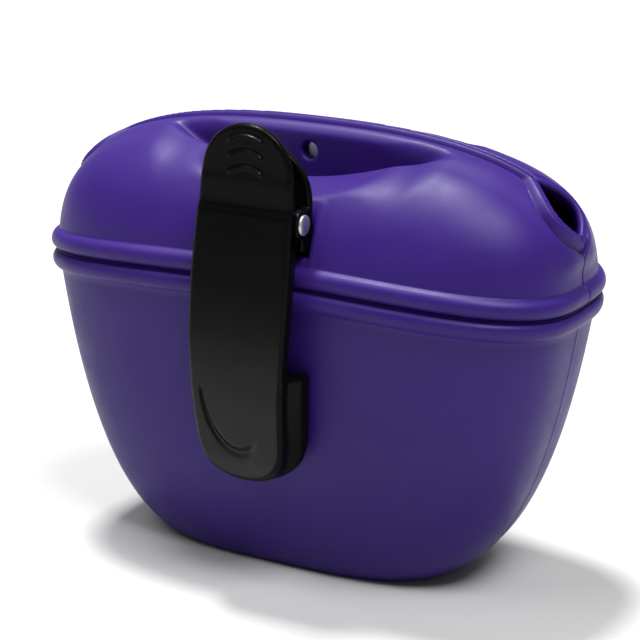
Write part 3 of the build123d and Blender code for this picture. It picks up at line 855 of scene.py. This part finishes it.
# ---------------------------------------------------------------- materials
class Nodes:
    """Short way to build a node material."""

    def __init__(self, name):
        self.material = bpy.data.materials.new(name)
        self.material.use_nodes = True
        self.tree = self.material.node_tree
        self.shader = self.tree.nodes["Principled BSDF"]

    def add(self, kind, **settings):
        """New node with the given properties."""
        node = self.tree.nodes.new(kind)
        for key, value in settings.items():
            setattr(node, key, value)
        return node

    def link(self, source, target):
        self.tree.links.new(source, target)

    def set(self, name, value):
        """Gives a shader input a value, or links a socket to it."""
        if isinstance(value, bpy.types.NodeSocket):
            self.link(value, self.shader.inputs[name])
        else:
            self.shader.inputs[name].default_value = value

    def noise(self, scale, detail):
        """Noise fixed to the object; scale is per metre."""
        noise = self.add("ShaderNodeTexNoise")
        noise.inputs["Scale"].default_value = scale
        noise.inputs["Detail"].default_value = detail
        self.link(self.add("ShaderNodeTexCoord").outputs["Object"], noise.inputs["Vector"])
        return noise.outputs["Fac"]

    def ramp(self, source, low, high):
        """Colour that goes from low to high over the middle of a noise's range."""
        ramp = self.add("ShaderNodeValToRGB")
        for element, place, colour in zip(ramp.color_ramp.elements, (0.3, 0.7), (low, high)):
            element.position = place
            element.color = colour
        self.link(source, ramp.inputs["Fac"])
        return ramp.outputs["Color"]

    def mix(self, share, low, high):
        """Colour between two others."""
        mix = self.add("ShaderNodeMix", data_type="RGBA")
        for source, socket in ((share, 0), (low, 6), (high, 7)):
            self.link(source, mix.inputs[socket])
        return mix.outputs[2]

    def spread(self, source, low, high, start=0.0, end=1.0):
        """Smooth change from start to end as the source goes from low to high."""
        span = self.add("ShaderNodeMapRange", interpolation_type="SMOOTHSTEP")
        for name, value in (("From Min", low), ("From Max", high), ("To Min", start), ("To Max", end)):
            span.inputs[name].default_value = value
        self.link(source, span.inputs["Value"])
        return span.outputs["Result"]

    def part_of(self, vector, axis):
        """One axis of a vector socket."""
        split = self.add("ShaderNodeSeparateXYZ")
        self.link(vector, split.inputs[0])
        return split.outputs[axis]

    def painted_foot_light(self):
        """Mask for painted light that grows towards the clip's foot (height in metres), on its outer face
        only.
        """
        height = self.part_of(self.add("ShaderNodeTexCoord").outputs["Object"], "Z")
        facing = self.part_of(self.add("ShaderNodeNewGeometry").outputs["Normal"], "Y")
        both = self.add("ShaderNodeMath", operation="MULTIPLY")
        self.link(self.spread(height, 0.072, 0.038), both.inputs[0])
        self.link(self.spread(facing, 0.84, 0.95), both.inputs[1])
        return both.outputs["Value"]

    def bumps(self, layers):
        """Chain of bump nodes from (height socket, strength, distance)."""
        normal = None
        for height, strength, distance in layers:
            node = self.add("ShaderNodeBump")
            node.inputs["Strength"].default_value = strength
            node.inputs["Distance"].default_value = distance
            self.link(height, node.inputs["Height"])
            if normal:
                self.link(normal, node.inputs["Normal"])
            normal = node.outputs["Normal"]
        self.set("Normal", normal)


def grey(value):
    """Neutral colour."""
    return (value, value, value, 1)


def silicone():
    """Purple moulded silicone: soft sheen, slight depth, fine surface grain."""
    m = Nodes("silicone_purple")
    m.set("Base Color", m.ramp(m.noise(28.0, 3.0), (0.0232, 0.0060, 0.124, 1), (0.0270, 0.0075, 0.140, 1)))
    m.set("Roughness", m.ramp(m.noise(140.0, 5.0), grey(0.40), grey(0.50)))
    m.set("Subsurface Weight", 0.12)
    m.set("Subsurface Radius", (0.9, 0.5, 2.0))
    m.set("Subsurface Scale", 0.0012)
    m.set("IOR", 1.41)
    m.set("Specular IOR Level", 0.3)
    m.bumps([(m.noise(1600.0, 4.0), 0.10, 0.0002), (m.noise(90.0, 2.0), 0.08, 0.0006)])
    return m.material


def black_plastic():
    """Black moulded plastic with a fine texture, with painted light: paler colour and a higher specular level
    towards the outer face of the clip's foot.
    """
    m = Nodes("plastic_black")
    painted_foot_light = m.painted_foot_light()
    plain_black = m.ramp(m.noise(60.0, 4.0), grey(0.0014), grey(0.0022))
    # painted light: this paler colour is mixed in on the lower outer face of the arm
    painted_light_black = m.ramp(m.noise(90.0, 5.0), grey(0.010), grey(0.015))
    m.set("Base Color", m.mix(painted_foot_light, plain_black, painted_light_black))
    m.set("Roughness", m.ramp(m.noise(220.0, 5.0), grey(0.25), grey(0.33)))
    m.set("IOR", 1.49)
    m.set("Specular IOR Level", m.spread(painted_foot_light, 0.0, 1.0, 0.07, 0.14))
    m.bumps([(m.noise(2400.0, 3.0), 0.12, 0.00015)])
    return m.material


def metal(name, level, blue, smooth, rough, grain):
    """Metal of a grey level with a trace of blue, varied in tone and roughness."""
    m = Nodes(name)
    bright = (level, level, blue, 1)
    dull = (level * 0.88, level * 0.88, blue * 0.88, 1)
    m.set("Metallic", 1.0)
    m.set("Base Color", m.ramp(m.noise(grain, 4.0), dull, bright))
    m.set("Roughness", m.ramp(m.noise(grain * 3, 5.0), grey(smooth), grey(rough)))
    m.bumps([(m.noise(grain * 6, 3.0), 0.08, 0.0001)])
    return m.material


def floor_paper():
    """Pale paper floor."""
    m = Nodes("floor_white")
    m.set("Base Color", m.ramp(m.noise(3.0, 3.0), grey(0.46), grey(0.50)))
    m.set("Roughness", 0.6)
    return m.material


# ---------------------------------------------------------------- build
HOOD_STEP = 0.42
CLIP_STEP = 0.32
HOOD_X_END = 66.5
HOOD_Y_RANGE = (-0.6, 34.5)         # from the middle plane outwards
HOOD_Z_RANGE = (RIM_Z - 0.8, RIM_Z + HOOD_Z + 1.6)
ARM_BOX = ((-14.6, 26.4, 23.9), (14.6, 40.6, 105.8))
BRACKET_BOX = ((-13.0, 25.8, 75.8), (13.0, 34.6, 101.0))
FRONT_BEND_Z = 83.0                 # heights given as where the halves of the hood would start to bend; stand_in does not bend them
BACK_BEND_Z = 86.0
SPRING_BEND_X = 3.2


def stand_in(piece, body, slot, *nodes, bend=None):
    """Puts a piece in place of CAD nodes and attaches it to the body; with bend given, the piece is only
    baked in place and left unattached, and the bend's points are worked out but turn nothing.
    """
    if bend:
        start, end = [tuple(c * MM for c in place) for place in bend]
        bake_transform(piece)
        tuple(start)
        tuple(end)
    else:
        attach(piece, body)
    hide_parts(*nodes)


def hood_half(name, side, material):
    """Front (-1) or back (+1) half of the hood."""
    y_low, y_high = sorted(side * y for y in HOOD_Y_RANGE)
    low = (-HOOD_X_END, y_low, HOOD_Z_RANGE[0])
    high = (HOOD_X_END, y_high, HOOD_Z_RANGE[1])
    return field_piece(name, hood_field(side), low, high, HOOD_STEP, material)


def paint_node(node, material):
    """Gives a carried-over CAD node its material."""
    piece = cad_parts[node]
    piece.data.materials.clear()
    piece.data.materials.append(material)


purple = silicone()
black = black_plastic()
steel = metal("steel_bright", 0.60, 0.62, 0.34, 0.46, 300.0)
zinc = metal("steel_zinc", 0.55, 0.57, 0.25, 0.40, 200.0)
nickel = metal("nickel_magnet", 0.34, 0.36, 0.30, 0.42, 160.0)

lip_end = (0, 0, LIP_TOP + 0.5)
front = hood_half("hood_front", -1, purple)
stand_in(front, "front_lip", "silicone", "front_lip", bend=((0, 0, FRONT_BEND_Z), lip_end))
back = hood_half("hood_back", 1, purple)
stand_in(back, "back_lip", "silicone", "back_lip", "hood_skirt", bend=((0, 0, BACK_BEND_Z), lip_end))
stand_in(bucket_piece(purple), "pouch", "silicone", "bucket")

arm = field_piece("clip_arm_body", arm_field, *ARM_BOX, CLIP_STEP, black)
stand_in(arm, "clip_arm", "clip_plastic", "clip_arm")
bracket = field_piece("clip_bracket_body", bracket_field, *BRACKET_BOX, CLIP_STEP, black)
stand_in(bracket, "pouch", "clip_plastic", "clip_bracket")
spring_bend = ((-SPRING_BEND_X, 0, 0), (SPRING_BEND_X, 0, 0))
stand_in(spring_piece(zinc), "clip_arm", "spring_steel", "torsion_spring", bend=spring_bend)
stand_in(pin_piece(steel), "pouch", "pin_steel", "pivot_pin")

paint_node("front_magnet", nickel)
paint_node("back_magnet", nickel)
paint_node("clip_screws", zinc)
paint_node("backing_plate", black)

# ---------------------------------------------------------------- stage
FLOOR_HALF = 9              # metres
CAMERA_TARGET = Vector((0, 0, 0.0535))
CAMERA_AZIMUTH = 207.97
CAMERA_ELEVATION = 16.61
CAMERA_ROLL = 0.78
CAMERA_DISTANCE = 0.4902
CAMERA_LENS = 121.0
BRIGHT_SIDE = 0.32          # strength of the world behind the object and on the camera's side
DIM_SIDE = 0.16
DIM_ELEVATION = 10


def direction(azimuth, elevation):
    """Unit vector towards a bearing; azimuth 0 is in front (-Y)."""
    a, e = math.radians(azimuth), math.radians(elevation)
    return Vector((math.sin(a) * math.cos(e), -math.cos(a) * math.cos(e), math.sin(e)))


def pale_floor():
    """Plain floor that the object stands on."""
    mesh = bpy.data.meshes.new("floor")
    corners = [(x * FLOOR_HALF, y * FLOOR_HALF, 0) for x, y in ((-1, -1), (1, -1), (1, 1), (-1, 1))]
    mesh.from_pydata(corners, [], [(0, 1, 2, 3)])
    mesh.materials.append(floor_paper())
    floor = bpy.data.objects.new("floor", mesh)
    bpy.context.scene.collection.objects.link(floor)


def studio_world(darker_side):
    """Lighter behind the object than on the camera's side; the camera itself sees plain white."""
    world = bpy.data.worlds.new("studio")
    bpy.context.scene.world = world
    world.use_nodes = True
    tree = world.node_tree
    place = tree.nodes.new("ShaderNodeTexCoord")
    towards = tree.nodes.new("ShaderNodeVectorMath")
    towards.operation = "DOT_PRODUCT"
    towards.inputs[1].default_value = darker_side
    fade = tree.nodes.new("ShaderNodeMapRange")
    for name, value in (("From Min", -0.1), ("From Max", 0.7), ("To Min", BRIGHT_SIDE), ("To Max", DIM_SIDE)):
        fade.inputs[name].default_value = value
    path = tree.nodes.new("ShaderNodeLightPath")
    seen = tree.nodes.new("ShaderNodeMix")
    seen.inputs["B"].default_value = 1.0
    background = tree.nodes["Background"]
    background.inputs["Color"].default_value = (1.0, 1.0, 1.0, 1)
    tree.links.new(place.outputs["Generated"], towards.inputs[0])
    tree.links.new(towards.outputs["Value"], fade.inputs["Value"])
    tree.links.new(path.outputs["Is Camera Ray"], seen.inputs["Factor"])
    tree.links.new(fade.outputs["Result"], seen.inputs["A"])
    tree.links.new(seen.outputs["Result"], background.inputs["Strength"])


def sun_light(name, azimuth, elevation, strength, softness):
    """Even light from one side; softness is the width of the source in degrees."""
    light = bpy.data.lights.new(name, "SUN")
    light.energy = strength
    light.angle = math.radians(softness)
    lamp = bpy.data.objects.new(name, light)
    lamp.rotation_euler = (-direction(azimuth, elevation)).to_track_quat("-Z", "Y").to_euler()
    bpy.context.scene.collection.objects.link(lamp)


def photo_camera():
    """Camera at the photograph's viewing angle."""
    data = bpy.data.cameras.new("camera")
    data.sensor_width = 36.0
    data.lens = CAMERA_LENS
    camera = bpy.data.objects.new("camera", data)
    camera.location = CAMERA_TARGET + direction(CAMERA_AZIMUTH, CAMERA_ELEVATION) * CAMERA_DISTANCE
    look = (CAMERA_TARGET - camera.location).to_track_quat("-Z", "Y").to_matrix()
    camera.rotation_euler = (look @ Matrix.Rotation(math.radians(CAMERA_ROLL), 3, "Z")).to_euler()
    bpy.context.scene.collection.objects.link(camera)
    return camera


pale_floor()
studio_world(direction(CAMERA_AZIMUTH, DIM_ELEVATION))
sun_light("key", 60, 75, 4.4, 9.0)
sun_light("left", 135, 62, 0.9, 30.0)
sun_light("right", 240, 65, 3.0, 26.0)
bpy.context.scene.camera = photo_camera()
bpy.context.scene.view_settings.view_transform = "Standard"
